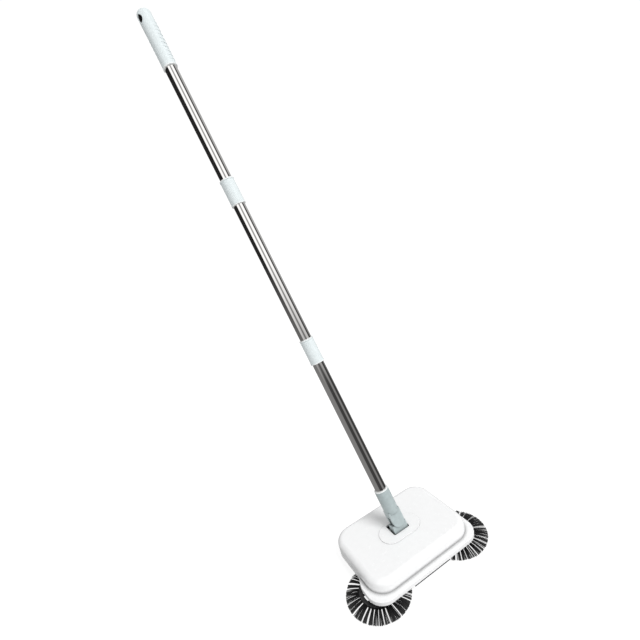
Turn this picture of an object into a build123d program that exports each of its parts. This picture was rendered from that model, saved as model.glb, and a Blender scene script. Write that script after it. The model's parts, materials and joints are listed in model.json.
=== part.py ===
# Push carpet sweeper: low head with two side brushes and a roller, on a long jointed handle.
# Units mm, +Z up, front towards -Y. The origin is on the floor, at the middle of the head.
from build123d import *
from math import atan2, cos, degrees, floor, hypot, radians, sin
import os

os.makedirs("parts", exist_ok=True)

# Head shell
head_width = 247.0
head_depth = 173.0
corner_radius = 38.0
shell_wall = 2.4
tray_bottom = 19.0
tray_top = 28.0
cover_top = 54.5
cover_roll = 12.0
flange_reach = 12.0
wing_reach = 11.0
wing_radius = 35.0
wing_front = 48.0
wing_back = 8.0

# Pivot: the yoke tilts fore and aft on a pin along X and carries the pin that the fork sways on
tilt_y = -3.0
tilt_z = 49.0
tilt_rest = 15.5
sway_rest = -6.0
pin_spacing = 28.0
pin_radius = 2.5
pin_cover = 1.5
running_gap = 0.05
side_gap = 0.35
yoke_width = 34.0
yoke_half_depth = 8.5
fork_radius = 14.0
fork_depth = 22.0
fin_thickness = 8.0
opening_width = 40.0
opening_front = -12.2
opening_back = 21.0
pad_length = 98.0
pad_depth = 54.0
pad_height = 1.2

# Handle
tube_radius = 12.5
tube_wall = 0.5
tube_length = 330.0
sleeve_radius = 15.5
sleeve_top = 74.0
tube_hidden = 13.0
connector_length = 55.0
connector_radius = 14.6
grip_length = 121.0
grip_radius = 15.0
grip_bore_depth = 77.0
hang_radius = 5.0
hang_from_tip = 20.0
hang_turn = 62.0

# Drive
axle_y = 23.0
axle_z = 20.0
axle_radius = 2.5
wheel_radius = 20.0
tyre_thickness = 2.5
wheel_inner = 56.0
wheel_width = 14.0
roller_half = 50.0
roller_core_radius = 10.0
bristle_reach = 19.8
hood_clearance = 2.0
hood_wall = 1.6
hood_half = 72.0

# Gears: module 2; pinion and face gear cross at a right angle, the others are spur gears in one plane
module = 2.0
pinion_teeth = 12
reduction_teeth = 18
idler_teeth = 24
brush_teeth = 12
gear_bottom = 36.4
gear_width = 6.0
pinion_x = 113.0
pinion_width = 4.0
gear_pin_radius = 2.0

# Side brushes
brush_x = 105.2
brush_y = -51.5
brush_radius = 66.0
tuft_root_radius = 38.0
ring_inner_radius = 30.5
spoke_count = 10
spindle_radius = 3.0

# Dust drawer and rear wheels
drawer_half = 66.0
drawer_front = 46.5
drawer_bottom = 5.5
drawer_top = 46.0
drawer_wall = 1.8
drawer_gap = 0.8
rear_wheel_x = 98.0
rear_wheel_y = 78.0
rear_wheel_radius = 8.0
rear_wheel_width = 8.0
rear_pin_radius = 1.5

# Worked out from the values above
half_width = head_width / 2
half_depth = head_depth / 2
flange_front = -half_depth - flange_reach
wing_x = half_width + wing_reach
rear_y = half_depth
face_x = pinion_x - reduction_teeth * module / 2
tilt = radians(tilt_rest)
sway = radians(sway_rest)
handle_dir = Vector(sin(sway), cos(sway) * sin(tilt), cos(sway) * cos(tilt))
across_dir = Vector(cos(sway), -sin(sway) * sin(tilt), -sin(sway) * cos(tilt))
yoke_up = Vector(0, sin(tilt), cos(tilt))
sway_axis = Vector(0, cos(tilt), -sin(tilt))
tilt_point = Vector(0, tilt_y, tilt_z)
sway_point = tilt_point + yoke_up * pin_spacing
sway_plane = Plane(origin=sway_point, x_dir=(1, 0, 0), z_dir=sway_axis)
handle_plane = Plane(origin=sway_point, x_dir=across_dir, z_dir=handle_dir)
front_plane = Plane(origin=sway_point, x_dir=across_dir, z_dir=sway_axis)


def write(part, name):
    part.label = name
    export_step(part, f"parts/{name}.step")


def along_handle(height):
    return handle_plane.offset(height)


def ring_on(plane, outer, inner, length):
    """A plain tube that stands on the given plane."""
    with BuildPart() as ring:
        with BuildSketch(plane):
            Circle(outer)
            Circle(inner, mode=Mode.SUBTRACT)
        extrude(amount=length)
    return ring.part


# ---------------------------------------------------------------- head shell
def tray_outline(height, inset=0.0):
    """Face of the tray's outline at a height, with both wings, set in by inset."""
    arc_x = wing_x - wing_radius
    bend_middle = ((wing_x + half_width) / 2, -(wing_front + wing_back) / 2)
    with BuildSketch(Plane.XY.offset(height)) as outline:
        with BuildLine():
            Line((0, flange_front), (arc_x, flange_front))
            RadiusArc((arc_x, flange_front), (wing_x, flange_front + wing_radius), -wing_radius)
            Line((wing_x, flange_front + wing_radius), (wing_x, -wing_front))
            bend = TangentArc((wing_x, -wing_front), bend_middle, tangent=(0, 1))
            TangentArc(bend_middle, (half_width, -wing_back), tangent=bend % 1)
            Line((half_width, -wing_back), (half_width, half_depth - corner_radius))
            RadiusArc(
                (half_width, half_depth - corner_radius),
                (half_width - corner_radius, half_depth),
                -corner_radius,
            )
            Line((half_width - corner_radius, half_depth), (0, half_depth))
            mirror(about=Plane.YZ)
        make_face()
        if inset:
            offset(amount=-inset, mode=Mode.REPLACE)
    return outline.sketch


def rounded_block(inset, top, roll):
    """Block with the cover's outline, set in by inset, and a rolled top edge."""
    with BuildPart() as block:
        with BuildSketch(Plane.XY.offset(tray_top)):
            RectangleRounded(head_width - 2 * inset, head_depth - 2 * inset, corner_radius - inset)
        extrude(amount=top - tray_top)
        fillet(block.faces().sort_by(Axis.Z)[-1].edges(), roll)
    return block.part


screw_spots = [(-108.0, 62.0), (108.0, 62.0), (-88.0, -72.0), (88.0, -72.0)]
screw_radius = 1.5
boss_radius = 4.0
boss_bottom = tray_top
mouth_width = 2 * (drawer_half + drawer_gap)
mouth_top = drawer_top + drawer_gap
pad_y = -2.0
cover_inner = rounded_block(shell_wall, cover_top - shell_wall, cover_roll - shell_wall)

with BuildPart() as top_cover:
    add(rounded_block(0, cover_top, cover_roll))
    with BuildSketch(Plane.XY.offset(cover_top)):
        with Locations((0, pad_y)):
            SlotOverall(pad_length, pad_depth)
    extrude(amount=pad_height)
    fillet(top_cover.faces().sort_by(Axis.Z)[-1].edges(), pad_height * 0.8)
    add(cover_inner, mode=Mode.SUBTRACT)
    with BuildSketch(Plane.XY.offset(boss_bottom)):
        with Locations(*screw_spots):
            Circle(boss_radius)
    extrude(until=Until.NEXT, target=top_cover.part)
    with BuildSketch(Plane.XY.offset(boss_bottom)):
        with Locations(*screw_spots):
            Circle(screw_radius)
    extrude(amount=16, mode=Mode.SUBTRACT)
    with BuildSketch(Plane.XY.offset(tilt_z)):
        with Locations((0, (opening_front + opening_back) / 2)):
            RectangleRounded(opening_width, opening_back - opening_front, 3.0)
    extrude(amount=cover_top + pad_height - tilt_z, mode=Mode.SUBTRACT)
    with BuildSketch(Plane.XZ.offset(-rear_y - 1)):
        with Locations((0, (tray_top - 2 + mouth_top) / 2)):
            Rectangle(mouth_width, mouth_top - tray_top + 2)
    extrude(amount=cover_roll, mode=Mode.SUBTRACT)
write(top_cover.part, "top_cover")

window_half = 84.0
window_front = -1.0
wheel_lug = 3.4
lug_bottom = 4.0
lug_depth = 9.0
lip_bottom = 12.5
lip_half = 46.0
lip_thickness = 2.2
spindle_bush_radius = 5.0
spindle_bush_flange = 7.5

with BuildPart() as base_tray:
    extrude(tray_outline(tray_bottom), amount=tray_top - tray_bottom)
    fillet(base_tray.faces().sort_by(Axis.Z)[-1].edges(), 1.2)
    extrude(
        tray_outline(tray_bottom, shell_wall), amount=tray_top - tray_bottom - shell_wall, mode=Mode.SUBTRACT
    )
    with BuildSketch(Plane.XY.offset(tray_bottom - 1)):
        with Locations((0, (window_front + rear_y + 1) / 2)):
            Rectangle(mouth_width, rear_y + 1 - window_front)
        with Locations((0, axle_y)):
            Rectangle(2 * window_half, 2 * (axle_y - window_front))
        with Locations((pinion_x, axle_y), (-pinion_x, axle_y)):
            Rectangle(pinion_width + 3, 30)
        with Locations((0, axle_y)):
            Rectangle(2 * pinion_x + 14, 2 * axle_radius + 5)
        with Locations((brush_x, brush_y), (-brush_x, brush_y)):
            Circle(spindle_bush_radius)
        with Locations(*screw_spots):
            Circle(screw_radius + 0.3)
    extrude(amount=tray_top - tray_bottom + 2, mode=Mode.SUBTRACT)
    for side in (-1, 1):
        for end in (-1, 1):
            lug_x = side * rear_wheel_x + end * (rear_wheel_width / 2 + side_gap + wheel_lug / 2)
            with Locations((lug_x, rear_wheel_y, lug_bottom)):
                Box(
                    wheel_lug,
                    lug_depth,
                    tray_top - shell_wall - lug_bottom,
                    align=(Align.CENTER, Align.CENTER, Align.MIN),
                )
    for side in (-1, 1):
        with BuildSketch(Plane.YZ.offset(side * rear_wheel_x - 10)):
            with Locations((rear_wheel_y, rear_wheel_radius)):
                Circle(rear_pin_radius)
        extrude(amount=20, mode=Mode.SUBTRACT)
write(base_tray.part, "base_tray")

with BuildPart() as front_lip:
    with BuildSketch(Plane.XZ.offset(-flange_front - shell_wall)):
        with Locations((0, (lip_bottom + tray_top - shell_wall) / 2)):
            Rectangle(2 * lip_half, tray_top - shell_wall - lip_bottom)
    extrude(amount=-lip_thickness)
    fillet(front_lip.edges().filter_by(Axis.X).group_by(Axis.Z)[0], 0.8)
write(front_lip.part, "front_lip")

with BuildPart() as body_screws:
    for x, y in screw_spots:
        with Locations((x, y, tray_top - shell_wall - 2.0)):
            Cylinder(3.0, 2.0, align=(Align.CENTER, Align.CENTER, Align.MIN))
        with Locations((x, y, tray_top - shell_wall)):
            Cylinder(screw_radius - 0.05, 14.0, align=(Align.CENTER, Align.CENTER, Align.MIN))
write(body_screws.part, "body_screws")

# ---------------------------------------------------------------- roller hood and bearings
hood_inner = wheel_radius + hood_clearance
hood_outer = hood_inner + hood_wall
bush_radius = 3.9
foot_length = 10.0
foot_depth = 2 * (axle_y - window_front) + 13
dust_mouth_z = 33.0

with BuildPart() as roller_hood:
    with BuildSketch(Plane.YZ.offset(-hood_half)):
        with Locations((axle_y, axle_z)):
            Circle(hood_outer)
            Circle(hood_inner, mode=Mode.SUBTRACT)
        with Locations((axle_y, tray_top - hood_outer)):
            Rectangle(2 * hood_outer, 2 * hood_outer, mode=Mode.SUBTRACT)
        with Locations((axle_y + hood_outer, dust_mouth_z - hood_outer)):
            Rectangle(hood_outer, 2 * hood_outer, mode=Mode.SUBTRACT)
    extrude(amount=2 * hood_half)
    for side in (-1, 1):
        start = side * hood_half if side > 0 else -hood_half - hood_wall
        with BuildSketch(Plane.YZ.offset(start)):
            with Locations((axle_y, axle_z)):
                Circle(hood_outer)
                Circle(bush_radius, mode=Mode.SUBTRACT)
            with Locations((axle_y, axle_z - hood_outer)):
                Rectangle(2 * hood_outer, hood_outer, mode=Mode.SUBTRACT)
        extrude(amount=hood_wall)
        with Locations(
            (side * (hood_half + hood_wall + foot_length), window_front - 4, tray_top),
            (side * (hood_half + hood_wall + foot_length), 2 * axle_y - window_front + 4, tray_top),
        ):
            Box(12, 7, 2, align=(Align.CENTER, Align.CENTER, Align.MIN))
        with Locations((side * (hood_half + hood_wall + foot_length / 2), axle_y, tray_top)):
            Box(foot_length, foot_depth, 2, align=(Align.CENTER, Align.CENTER, Align.MIN))
write(roller_hood.part, "roller_hood")

with BuildPart() as axle_bushes:
    for side in (-1, 1):
        with BuildSketch(Plane.YZ.offset(side * (hood_half + hood_wall / 2) - 2.5)):
            with Locations((axle_y, axle_z)):
                Circle(bush_radius)
        extrude(amount=5)
        with BuildSketch(Plane.YZ.offset(side * (hood_half + hood_wall / 2) - 4)):
            with Locations((axle_y, axle_z)):
                Circle(axle_radius + running_gap)
        extrude(amount=8, mode=Mode.SUBTRACT)
write(axle_bushes.part, "axle_bushes")

# ---------------------------------------------------------------- drive: axle, wheels and roller
def on_axle(x):
    """Plane across the axle at x, facing +X, centred on the axle."""
    return Plane(origin=(x, axle_y, axle_z), x_dir=(0, 1, 0), z_dir=(1, 0, 0))


axle_half = pinion_x + pinion_width / 2 + 3

with BuildPart() as drive_axle:
    with BuildSketch(on_axle(-axle_half)):
        Circle(axle_radius)
    extrude(amount=2 * axle_half)
    chamfer(drive_axle.faces().filter_by(GeomType.PLANE).edges(), 0.4)
write(drive_axle.part, "drive_axle")

rim_radius = wheel_radius - tyre_thickness
web_thickness = 3.0
for side, name in ((-1, "left"), (1, "right")):
    near = side * (wheel_inner + wheel_width / 2) - wheel_width / 2
    with BuildPart() as wheel:
        with BuildSketch(on_axle(near)):
            Circle(rim_radius)
            Circle(rim_radius - 2.2, mode=Mode.SUBTRACT)
            Circle(5.5)
            Circle(axle_radius, mode=Mode.SUBTRACT)
        extrude(amount=wheel_width)
        with BuildSketch(on_axle(near + (wheel_width - web_thickness) / 2)):
            Circle(rim_radius - 2.0)
            Circle(5.0, mode=Mode.SUBTRACT)
            with PolarLocations(10.0, 6):
                Circle(2.6, mode=Mode.SUBTRACT)
        extrude(amount=web_thickness)
    write(wheel.part, f"wheel_{name}")
    with BuildPart() as tyre:
        with BuildSketch(on_axle(near)):
            Circle(wheel_radius)
            Circle(rim_radius, mode=Mode.SUBTRACT)
        extrude(amount=wheel_width)
        fillet(tyre.edges().filter_by(GeomType.CIRCLE).sort_by(SortBy.RADIUS)[-2:], 1.0)
    write(tyre.part, f"tyre_{name}")

with BuildPart() as roller_core:
    with BuildSketch(on_axle(-roller_half)):
        Circle(roller_core_radius)
        Circle(axle_radius, mode=Mode.SUBTRACT)
    extrude(amount=2 * roller_half)
    for x in (-roller_half, roller_half - 2):
        with BuildSketch(on_axle(x)):
            Circle(roller_core_radius + 2.5)
            Circle(axle_radius, mode=Mode.SUBTRACT)
        extrude(amount=2)
write(roller_core.part, "roller_core")
sleeve_length = 2 * roller_half - 4
write(ring_on(on_axle(2 - roller_half), bristle_reach, roller_core_radius, sleeve_length), "roller_bristles")

with BuildPart() as axle_clips:
    for x in (-axle_half + 1.0, axle_half - 1.8):
        with BuildSketch(on_axle(x)):
            Circle(axle_radius + 2)
            Circle(axle_radius, mode=Mode.SUBTRACT)
        extrude(amount=0.8)
write(axle_clips.part, "axle_clips")


# ---------------------------------------------------------------- gears
def spur_gear(plane, teeth, tooth_angle, bore, width):
    """Spur gear standing on a plane, with one tooth along tooth_angle (degrees)."""
    pitch_radius = teeth * module / 2
    root = pitch_radius - 1.15 * module
    tip = pitch_radius + 0.82 * module
    with BuildSketch() as tooth:
        with BuildLine():
            Polyline(
                (root - 1.0, -0.86 * module),
                (root, -0.86 * module),
                (pitch_radius, -0.66 * module),
                (tip, -0.32 * module),
                (tip, 0.32 * module),
                (pitch_radius, 0.66 * module),
                (root, 0.86 * module),
                (root - 1.0, 0.86 * module),
                close=True,
            )
        make_face()
    with BuildPart() as gear:
        with BuildSketch(plane):
            Circle(root)
            with PolarLocations(0, teeth, start_angle=tooth_angle):
                add(tooth.sketch)
            Circle(bore, mode=Mode.SUBTRACT)
        extrude(amount=width)
    return gear.part


idler_reach = (reduction_teeth + idler_teeth) * module / 2
brush_gear_reach = (idler_teeth + brush_teeth) * module / 2
train_span = hypot(brush_x - face_x, brush_y - axle_y)
train_angle = atan2(brush_y - axle_y, brush_x - face_x)
first_leg = (idler_reach**2 - brush_gear_reach**2 + train_span**2) / (2 * train_span)
lean = atan2((idler_reach**2 - first_leg**2) ** 0.5, first_leg)
idler_x = face_x + idler_reach * cos(train_angle - lean)
idler_y = axle_y + idler_reach * sin(train_angle - lean)
to_idler = degrees(atan2(idler_y - axle_y, idler_x - face_x))
to_brush = degrees(atan2(brush_y - idler_y, brush_x - idler_x))
idler_pitch = 360 / idler_teeth
brush_pitch = 360 / brush_teeth
idler_tooth = to_idler + 180 + idler_pitch / 2
phase = (to_brush - idler_tooth) / idler_pitch
brush_tooth = to_brush + 180 + (phase - floor(phase) + 0.5) * brush_pitch

pinion_tip = pinion_teeth * module / 2 + 0.82 * module
face_tip_z = axle_z + pinion_tip - 2.0
face_root_z = axle_z + pinion_tip + 0.7
face_radius = reduction_teeth * module / 2
face_tooth = 2.2

for side, name in ((-1, "left"), (1, "right")):
    pinion = spur_gear(
        on_axle(side * pinion_x - pinion_width / 2), pinion_teeth, 90.0, axle_radius, pinion_width
    )
    write(pinion, f"pinion_{name}")

    with BuildPart() as reduction_gear:
        add(
            spur_gear(
                Plane((side * face_x, axle_y, gear_bottom)),
                reduction_teeth,
                to_idler if side > 0 else 180 - to_idler,
                gear_pin_radius + running_gap,
                gear_width,
            )
        )
        with BuildSketch(Plane((side * face_x, axle_y, face_root_z))):
            Circle(face_radius + 2.2)
            Circle(gear_pin_radius + running_gap, mode=Mode.SUBTRACT)
        extrude(amount=gear_bottom - face_root_z)
        with BuildSketch(Plane((side * face_x, axle_y, face_tip_z))):
            with PolarLocations(face_radius, reduction_teeth, start_angle=180 / reduction_teeth):
                Rectangle(pinion_width, face_tooth)
        extrude(amount=face_root_z - face_tip_z)
    write(reduction_gear.part, f"reduction_gear_{name}")

    idler = spur_gear(
        Plane((side * idler_x, idler_y, gear_bottom)),
        idler_teeth,
        idler_tooth if side > 0 else 180 - idler_tooth,
        gear_pin_radius + running_gap,
        gear_width,
    )
    write(idler, f"idler_gear_{name}")

    brush_gear = spur_gear(
        Plane((side * brush_x, brush_y, gear_bottom)),
        brush_teeth,
        brush_tooth if side > 0 else 180 - brush_tooth,
        spindle_radius,
        gear_width,
    )
    write(brush_gear, f"brush_gear_{name}")

pin_top = gear_bottom + gear_width + 2.0
pin_spots = [(side * x, y) for side in (-1, 1) for x, y in ((face_x, axle_y), (idler_x, idler_y))]
post_radius = 7.0
with BuildPart() as gear_posts:
    with BuildSketch(Plane.XY.offset(tray_top)):
        with Locations(*pin_spots):
            Circle(post_radius)
            Circle(gear_pin_radius, mode=Mode.SUBTRACT)
    extrude(amount=face_tip_z - tray_top - 0.5)
write(gear_posts.part, "gear_posts")

with BuildPart() as gear_pins:
    with BuildSketch(Plane.XY.offset(tray_top)):
        with Locations(*pin_spots):
            Circle(gear_pin_radius)
    extrude(amount=pin_top - tray_top)
write(gear_pins.part, "gear_pins")

with BuildPart() as gear_washers:
    with BuildSketch(Plane.XY.offset(pin_top - 1.2)):
        with Locations(*pin_spots):
            Circle(gear_pin_radius + 2.5)
            Circle(gear_pin_radius, mode=Mode.SUBTRACT)
    extrude(amount=0.8)
write(gear_washers.part, "gear_washers")

# ---------------------------------------------------------------- side brushes
hub_bottom = 8.0
hub_top = 13.5
ring_bottom = 6.5
tip_bottom = 1.2
tip_top = 5.0
screw_head = 4.5

with BuildPart() as spindle_bushes:
    with BuildSketch(Plane.XY.offset(tray_top - shell_wall - 3)):
        with Locations((brush_x, brush_y), (-brush_x, brush_y)):
            Circle(spindle_bush_radius)
    extrude(amount=shell_wall + 6)
    with BuildSketch(Plane.XY.offset(tray_top)):
        with Locations((brush_x, brush_y), (-brush_x, brush_y)):
            Circle(spindle_bush_flange)
    extrude(amount=2)
    with BuildSketch(Plane.XY.offset(tray_bottom)):
        with Locations((brush_x, brush_y), (-brush_x, brush_y)):
            Circle(spindle_radius + running_gap)
    extrude(amount=14, mode=Mode.SUBTRACT)
write(spindle_bushes.part, "spindle_bushes")

for side, name in ((-1, "left"), (1, "right")):
    spot = (side * brush_x, brush_y)

    with BuildPart() as spindle:
        with BuildSketch(Plane((*spot, hub_bottom + 1))):
            Circle(spindle_radius)
        extrude(amount=gear_bottom + gear_width + 1.5 - hub_bottom - 1)
        with BuildSketch(Plane((*spot, hub_top + 0.01))):
            Circle(5.5)
        extrude(amount=3.0)
    write(spindle.part, f"spindle_{name}")

    with BuildPart() as brush_hub:
        with BuildSketch(Plane((*spot, hub_bottom))):
            Circle(12.0)
        extrude(amount=hub_top - hub_bottom)
        with BuildSketch(Plane((*spot, hub_bottom + 1))):
            Circle(spindle_radius)
        extrude(amount=hub_top, mode=Mode.SUBTRACT)
        with BuildSketch(Plane((*spot, hub_bottom - 1))):
            Circle(1.5)
        extrude(amount=4, mode=Mode.SUBTRACT)
        with BuildSketch(Plane((*spot, ring_bottom))):
            Circle(tuft_root_radius)
            Circle(ring_inner_radius, mode=Mode.SUBTRACT)
        extrude(amount=hub_top - 1.5 - ring_bottom)
        with BuildSketch(Plane((*spot, hub_bottom))):
            with PolarLocations((ring_inner_radius + 11.0) / 2, spoke_count, start_angle=18):
                Rectangle(ring_inner_radius - 9.0, 3.0)
        extrude(amount=3.0)
    write(brush_hub.part, f"brush_hub_{name}")

    with BuildPart() as brush_bristles:
        with BuildSketch(Plane.XZ):
            with BuildLine():
                Polyline(
                    (tuft_root_radius, ring_bottom + 0.5),
                    (brush_radius - 1, tip_bottom),
                    (brush_radius, tip_top),
                    (tuft_root_radius, hub_top - 2.2),
                    close=True,
                )
            make_face()
        revolve(axis=Axis.Z)
    write(Location((*spot, 0)) * brush_bristles.part, f"brush_bristles_{name}")

    with BuildPart() as brush_screw:
        with BuildSketch(Plane((*spot, hub_bottom - 2.2))):
            Circle(screw_head)
        extrude(amount=2.2)
        with BuildSketch(Plane((*spot, hub_bottom))):
            Circle(1.5)
        extrude(amount=1.0)
    write(brush_screw.part, f"brush_screw_{name}")

# ---------------------------------------------------------------- rear wheels and drawer
with BuildPart() as rear_pins:
    for side in (-1, 1):
        with BuildSketch(Plane.YZ.offset(side * rear_wheel_x - rear_wheel_width / 2 - side_gap - wheel_lug)):
            with Locations((rear_wheel_y, rear_wheel_radius)):
                Circle(rear_pin_radius)
        extrude(amount=rear_wheel_width + 2 * (side_gap + wheel_lug))
write(rear_pins.part, "rear_pins")

for side, name in ((-1, "left"), (1, "right")):
    with BuildPart() as rear_wheel:
        with BuildSketch(Plane.YZ.offset(side * rear_wheel_x - rear_wheel_width / 2)):
            with Locations((rear_wheel_y, rear_wheel_radius)):
                Circle(rear_wheel_radius)
                Circle(rear_pin_radius + running_gap, mode=Mode.SUBTRACT)
        extrude(amount=rear_wheel_width)
        fillet(rear_wheel.edges().filter_by(GeomType.CIRCLE).sort_by(SortBy.RADIUS)[-2:], 1.0)
    write(rear_wheel.part, f"rear_wheel_{name}")

drawer_depth = rear_y - drawer_front
face_thickness = 2.6
pull_depth = 1.6
sill_top = 15.0

with BuildPart() as dust_drawer:
    with BuildSketch(Plane.XY.offset(drawer_bottom)):
        with Locations((0, (drawer_front + rear_y) / 2)):
            Rectangle(2 * drawer_half, drawer_depth)
    extrude(amount=drawer_top - drawer_bottom)
    with BuildSketch(Plane.XY.offset(drawer_bottom + drawer_wall)):
        with Locations((0, (drawer_front + drawer_wall + rear_y - face_thickness) / 2)):
            Rectangle(2 * (drawer_half - drawer_wall), drawer_depth - drawer_wall - face_thickness)
    extrude(amount=drawer_top, mode=Mode.SUBTRACT)
    with BuildSketch(Plane.XZ.offset(-drawer_front + 1)):
        with Locations((0, (sill_top + drawer_top + 1) / 2)):
            Rectangle(2 * (drawer_half - drawer_wall), drawer_top + 1 - sill_top)
    extrude(amount=-drawer_wall - 2, mode=Mode.SUBTRACT)
    with BuildSketch(Plane.XZ.offset(-rear_y)):
        with Locations((0, drawer_bottom + 14)):
            SlotOverall(60, 14)
    extrude(amount=pull_depth, mode=Mode.SUBTRACT)
write(dust_drawer.part, "dust_drawer")

flap_thickness = 1.2
with BuildPart() as dust_flap:
    with BuildSketch(Plane.XZ.offset(-drawer_front)):
        with Locations((0, sill_top - 5.5)):
            Rectangle(2 * drawer_half - 8, 8)
    extrude(amount=flap_thickness)
write(dust_flap.part, "dust_flap")

# ---------------------------------------------------------------- pivot
cradle_wall = 5.0
cradle_bottom = 44.2
cradle_rim = 2.5
pin_half = opening_width / 2 + cradle_wall
opening_y = (opening_front + opening_back) / 2
opening_depth = opening_back - opening_front

with BuildPart() as pivot_cradle:
    with BuildSketch(Plane.XY.offset(cradle_bottom)):
        with Locations((0, opening_y)):
            Rectangle(2 * pin_half, opening_depth + 2 * cradle_rim)
            Rectangle(opening_width, opening_depth, mode=Mode.SUBTRACT)
    extrude(amount=cover_top - shell_wall - cradle_bottom)
    with BuildSketch(Plane.YZ.offset(-pin_half)):
        with Locations((tilt_y, tilt_z)):
            Circle(pin_radius)
    extrude(amount=2 * pin_half, mode=Mode.SUBTRACT)
write(pivot_cradle.part, "pivot_cradle")

with BuildPart() as tilt_pin:
    with BuildSketch(Plane.YZ.offset(-pin_half)):
        with Locations((tilt_y, tilt_z)):
            Circle(pin_radius)
    extrude(amount=2 * pin_half)
write(tilt_pin.part, "tilt_pin")

saddle_top = 20.0
yoke_side = Plane(origin=tilt_point, x_dir=sway_axis, z_dir=(1, 0, 0))

with BuildPart() as yoke:
    with BuildSketch(yoke_side.offset(-yoke_width / 2)):
        Circle(yoke_half_depth)
        with Locations((0, saddle_top / 2)):
            Rectangle(2 * yoke_half_depth, saddle_top)
    extrude(amount=yoke_width)
    with BuildSketch(sway_plane.offset(-yoke_half_depth - 1)):
        Circle(fork_radius + side_gap)
    extrude(amount=2 * yoke_half_depth + 2, mode=Mode.SUBTRACT)
    with BuildSketch(sway_plane.offset(-fin_thickness / 2)):
        Circle(yoke_half_depth)
        with Locations((0, (pin_spacing - 8) / 2)):
            Rectangle(2 * yoke_half_depth, pin_spacing - 8)
    extrude(amount=fin_thickness)
    with BuildSketch(sway_plane.offset(-fin_thickness)):
        Circle(pin_radius)
    extrude(amount=2 * fin_thickness, mode=Mode.SUBTRACT)
    with BuildSketch(yoke_side.offset(-yoke_width)):
        Circle(pin_radius + running_gap)
    extrude(amount=2 * yoke_width, mode=Mode.SUBTRACT)
write(yoke.part, "yoke")

with BuildPart() as sway_pin:
    with BuildSketch(sway_plane.offset(pin_cover - fork_depth / 2)):
        Circle(pin_radius)
    extrude(amount=fork_depth - pin_cover)
write(sway_pin.part, "sway_pin")

# ---------------------------------------------------------------- handle, from the sway pin upwards
barrel_bottom = 20.0
slot_top = 10.5
tube_foot = sleeve_top - 44.0

with BuildPart() as sleeve:
    with BuildSketch(front_plane.offset(-fork_depth / 2)):
        Circle(fork_radius)
        with Locations((0, -(barrel_bottom + 4) / 2)):
            Rectangle(2 * fork_radius, barrel_bottom + 4)
    extrude(amount=fork_depth)
    with BuildSketch(along_handle(barrel_bottom)):
        Circle(sleeve_radius)
    extrude(amount=sleeve_top - barrel_bottom)
    barrel_end = sway_point + handle_dir * sleeve_top
    fillet(sleeve.edges().filter_by(GeomType.CIRCLE).sort_by_distance(barrel_end)[0], 1.0)
    with BuildSketch(along_handle(tube_foot)):
        Circle(tube_radius)
    extrude(amount=sleeve_top, mode=Mode.SUBTRACT)
    with BuildSketch(front_plane.offset(-fin_thickness / 2 - side_gap)):
        with Locations((0, fork_radius - (slot_top + fork_radius) / 2)):
            Rectangle(3 * fork_radius, slot_top + fork_radius)
    extrude(amount=fin_thickness + 2 * side_gap, mode=Mode.SUBTRACT)
    with BuildSketch(front_plane.offset(pin_cover - fork_depth / 2)):
        Circle(pin_radius + running_gap)
    extrude(amount=fork_depth, mode=Mode.SUBTRACT)
write(sleeve.part, "sleeve")

exposed = tube_length - 2 * tube_hidden
lower_start = sleeve_top - tube_hidden
joint_one = sleeve_top + exposed
joint_two = joint_one + connector_length + exposed
upper_start = joint_two + connector_length - tube_hidden
grip_start = upper_start + tube_length - grip_bore_depth
plug_length = 24.0
tip_round = 11.0

for name, start in (
    ("tube_lower", lower_start),
    ("tube_middle", joint_one + connector_length - tube_hidden),
    ("tube_upper", upper_start),
):
    write(ring_on(along_handle(start), tube_radius, tube_radius - tube_wall, tube_length), name)

for name, start in (("lower", joint_one), ("upper", joint_two)):
    with BuildPart() as connector:
        with BuildSketch(along_handle(start)):
            Circle(connector_radius)
            Circle(tube_radius, mode=Mode.SUBTRACT)
        extrude(amount=connector_length)
        for ring_start in (start, start + connector_length - 3.0):
            with BuildSketch(along_handle(ring_start)):
                Circle(connector_radius + 0.6)
                Circle(connector_radius - 0.5, mode=Mode.SUBTRACT)
            extrude(amount=3.0)
        with BuildSketch(along_handle(start + tube_hidden)):
            Circle(tube_radius + 0.1)
            Circle(5.0, mode=Mode.SUBTRACT)
        extrude(amount=connector_length - 2 * tube_hidden)
    write(connector.part, f"connector_{name}")

with BuildPart() as tube_plugs:
    for start in (joint_one, joint_one + connector_length, joint_two, joint_two + connector_length):
        side = -1 if start in (joint_one, joint_two) else 1
        edge = start - side * tube_hidden
        low = edge if side > 0 else edge - plug_length
        with BuildSketch(along_handle(low)):
            Circle(tube_radius - tube_wall)
            Circle(4.0, mode=Mode.SUBTRACT)
        extrude(amount=plug_length)
write(tube_plugs.part, "tube_plugs")

with BuildPart() as grip:
    with BuildSketch(along_handle(grip_start)):
        Circle(grip_radius)
    extrude(amount=grip_length)
    tip_point = sway_point + handle_dir * (grip_start + grip_length)
    fillet(grip.faces().sort_by_distance(tip_point)[0].edges(), tip_round)
    with BuildSketch(along_handle(grip_start)):
        Circle(tube_radius)
    extrude(amount=grip_bore_depth, mode=Mode.SUBTRACT)
    hang_dir = across_dir * -sin(radians(hang_turn)) - sway_axis * cos(radians(hang_turn))
    hang_point = sway_point + handle_dir * (grip_start + grip_length - hang_from_tip)
    with BuildSketch(Plane(origin=hang_point, x_dir=handle_dir, z_dir=hang_dir).offset(-2 * grip_radius)):
        Circle(hang_radius)
    extrude(amount=4 * grip_radius, mode=Mode.SUBTRACT)
write(grip.part, "grip")
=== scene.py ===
"""Looks of a push carpet sweeper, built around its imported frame.

It makes the brushes, roller, tyres, screws and grip, the finishes of every carried-over piece,
and the studio the sweeper stands in. Lengths are metres, and the front is -Y.
"""

import json
import math

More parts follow.
